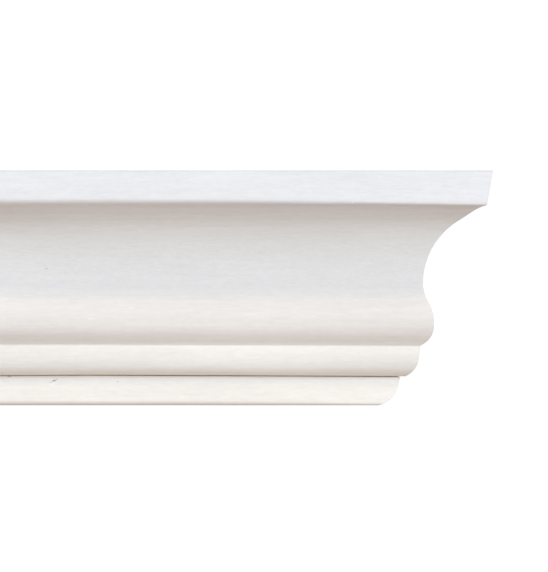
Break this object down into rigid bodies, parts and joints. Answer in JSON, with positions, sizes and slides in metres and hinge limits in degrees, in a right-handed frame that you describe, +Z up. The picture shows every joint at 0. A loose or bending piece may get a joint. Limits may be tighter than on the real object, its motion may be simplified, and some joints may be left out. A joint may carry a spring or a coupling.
{
  "type": "crown moulding length",
  "caption": "Straight painted wooden crown moulding: fascia, cove, bead, ovolo and lip on a sprung back, mitred at the right and cut square at the left.",
  "frame": {"origin": "middle of the narrow flat on the back that bears on the wall", "axes": "+Y out of the back into the wall, -Y into the room, +X along the length to the mitred end, +Z up to the ceiling"},
  "size_m": [0.2149, 0.0599, 0.1],
  "materials": {
    "painted_wood": "satin off-white paint over fine-grained wood, with the grain and brush marks just showing"
  },
  "bodies": {
    "root": {"crown_moulding": "painted_wood"}
  },
  "joints": []
}
